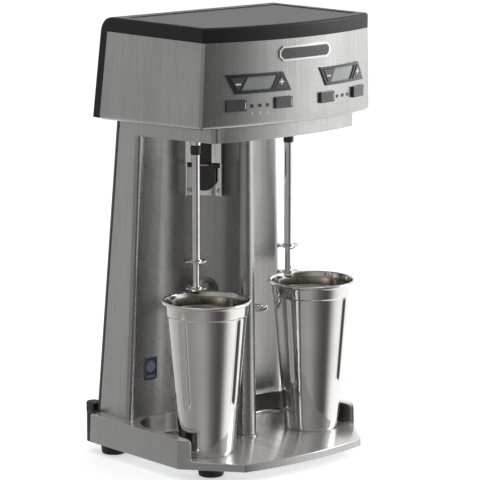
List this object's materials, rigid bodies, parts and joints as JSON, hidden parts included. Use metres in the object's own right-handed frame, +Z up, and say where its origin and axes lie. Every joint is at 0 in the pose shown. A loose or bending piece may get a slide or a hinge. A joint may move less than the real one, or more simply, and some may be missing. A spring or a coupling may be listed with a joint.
{
  "type": "milkshake mixer",
  "caption": "Bar-top twin-spindle drink mixer: bowed control head on a hollow column with two cup alcoves, agitator spindles, switch guides and steel malt cups.",
  "frame": {"origin": "table level under the feet, on the plane midway between the two spindles, at the middle of the overall depth (the spindle axes are 16.25 mm in front of it)", "axes": "+Z up, -Y to the front (the side with the controls), +X to the right as seen from the front"},
  "size_m": [0.274, 0.2595, 0.5045],
  "materials": {
    "paint_grey": "fine metallic grey enamel, satin",
    "paint_base": "fine metallic grey enamel, satin",
    "zinc_sheet": "plated sheet, dull",
    "rubber": "matt black",
    "screw_steel": "bright screws",
    "black_plastic": "fine texture",
    "screw_black": "black oxide",
    "cap_plastic": "fine spark texture",
    "motor_steel": "black enamel",
    "cast_alloy": "as cast",
    "lamination": "varnished laminations",
    "bearing_bronze": "sintered bronze",
    "chrome_trim": "bright plated",
    "gloss_black": "gloss black",
    "lcd_glass": "grey-green display window",
    "lamp_lens": "dark lamp lens",
    "board_green": "solder mask",
    "badge": "blank plate with bright border",
    "label_blue": "blank blue label",
    "fan_plastic": "moulded",
    "polished_steel": "polished stainless",
    "agitator_steel": "polished stainless",
    "paddle_black": "gloss black",
    "cup_steel": "polished stainless",
    "key_black": "semi-gloss black"
  },
  "bodies": {
    "frame": {"base_casting": "paint_base", "base_bottom_cover": "zinc_sheet", "rubber_feet": "rubber", "base_screws": "screw_steel", "column_casting": "paint_grey", "column_rear_cover": "black_plastic", "cover_screws": "screw_black", "head_shell": "paint_grey", "head_cap": "cap_plastic", "motor_plate": "zinc_sheet", "motor_bushes": "rubber", "motor_screws": "screw_steel", "motor_can_left": "motor_steel", "motor_can_right": "motor_steel", "motor_end_caps": "cast_alloy", "motor_stators": "lamination", "motor_bearings": "bearing_bronze", "spindle_bushes": "chrome_trim", "guide_bracket_left": "chrome_trim", "guide_bracket_right": "chrome_trim", "guide_blocks": "black_plastic", "paddle_pins": "screw_steel", "microswitches": "black_plastic", "bracket_screws": "screw_steel", "cup_rest_left": "chrome_trim", "cup_rest_right": "chrome_trim", "display_bezel_left": "gloss_black", "display_bezel_right": "gloss_black", "lcd_windows": "lcd_glass", "indicator_lights": "lamp_lens", "control_board": "board_green", "cord_gland": "rubber", "badge_plate": "badge", "column_label": "label_blue"},
    "spindle_left": {"rotor_left": "lamination", "cooling_fan_left": "fan_plastic", "spindle_left": "polished_steel", "spindle_collar_left": "black_plastic", "upper_agitator_left": "agitator_steel", "lower_agitator_left": "agitator_steel", "agitator_nut_left": "polished_steel"},
    "paddle_left": {"switch_paddle_left": "paddle_black"},
    "cup_left": {"cup_left": "cup_steel"},
    "minus_key_left": {"minus_key_left": "key_black"},
    "plus_key_left": {"plus_key_left": "key_black"},
    "speed_key_left": {"speed_key_left": "key_black"},
    "pulse_key_left": {"pulse_key_left": "key_black"},
    "spindle_right": {"rotor_right": "lamination", "cooling_fan_right": "fan_plastic", "spindle_right": "polished_steel", "spindle_collar_right": "black_plastic", "upper_agitator_right": "agitator_steel", "lower_agitator_right": "agitator_steel", "agitator_nut_right": "polished_steel"},
    "paddle_right": {"switch_paddle_right": "paddle_black"},
    "cup_right": {"cup_right": "cup_steel"},
    "minus_key_right": {"minus_key_right": "key_black"},
    "plus_key_right": {"plus_key_right": "key_black"},
    "speed_key_right": {"speed_key_right": "key_black"},
    "pulse_key_right": {"pulse_key_right": "key_black"}
  },
  "joints": [
    {"name": "spindle_left_spin", "type": "hinge", "parent": "frame", "child": "spindle_left", "pos_m": [-0.0706, -0.01625, 0.4], "axis": [0, 0, 1], "continuous": true},
    {"name": "paddle_left_press", "type": "hinge", "parent": "frame", "child": "paddle_left", "pos_m": [-0.03112, 0.0146, 0.334], "axis": [0.6157, -0.788, 0], "range_deg": [0, 8], "stiffness_Nm_per_rad": 0.02},
    {"name": "cup_left_take", "type": "slide", "parent": "frame", "child": "cup_left", "axis": [0, -1, 0], "range_m": [0, 0.12]},
    {"name": "minus_key_left_press", "type": "slide", "parent": "frame", "child": "minus_key_left", "axis": [0, 1, 0], "range_m": [0, 0.0008], "stiffness_N_per_m": 800},
    {"name": "plus_key_left_press", "type": "slide", "parent": "frame", "child": "plus_key_left", "axis": [0, 1, 0], "range_m": [0, 0.0008], "stiffness_N_per_m": 800},
    {"name": "speed_key_left_press", "type": "slide", "parent": "frame", "child": "speed_key_left", "axis": [0, 1, 0], "range_m": [0, 0.0008], "stiffness_N_per_m": 800},
    {"name": "pulse_key_left_press", "type": "slide", "parent": "frame", "child": "pulse_key_left", "axis": [0, 1, 0], "range_m": [0, 0.0008], "stiffness_N_per_m": 800},
    {"name": "spindle_right_spin", "type": "hinge", "parent": "frame", "child": "spindle_right", "pos_m": [0.0706, -0.01625, 0.4], "axis": [0, 0, 1], "continuous": true},
    {"name": "paddle_right_press", "type": "hinge", "parent": "frame", "child": "paddle_right", "pos_m": [0.03112, 0.0146, 0.334], "axis": [0.6157, 0.788, 0], "range_deg": [0, 8], "stiffness_Nm_per_rad": 0.02},
    {"name": "cup_right_take", "type": "slide", "parent": "frame", "child": "cup_right", "axis": [0, -1, 0], "range_m": [0, 0.12]},
    {"name": "minus_key_right_press", "type": "slide", "parent": "frame", "child": "minus_key_right", "axis": [0, 1, 0], "range_m": [0, 0.0008], "stiffness_N_per_m": 800},
    {"name": "plus_key_right_press", "type": "slide", "parent": "frame", "child": "plus_key_right", "axis": [0, 1, 0], "range_m": [0, 0.0008], "stiffness_N_per_m": 800},
    {"name": "speed_key_right_press", "type": "slide", "parent": "frame", "child": "speed_key_right", "axis": [0, 1, 0], "range_m": [0, 0.0008], "stiffness_N_per_m": 800},
    {"name": "pulse_key_right_press", "type": "slide", "parent": "frame", "child": "pulse_key_right", "axis": [0, 1, 0], "range_m": [0, 0.0008], "stiffness_N_per_m": 800}
  ]
}
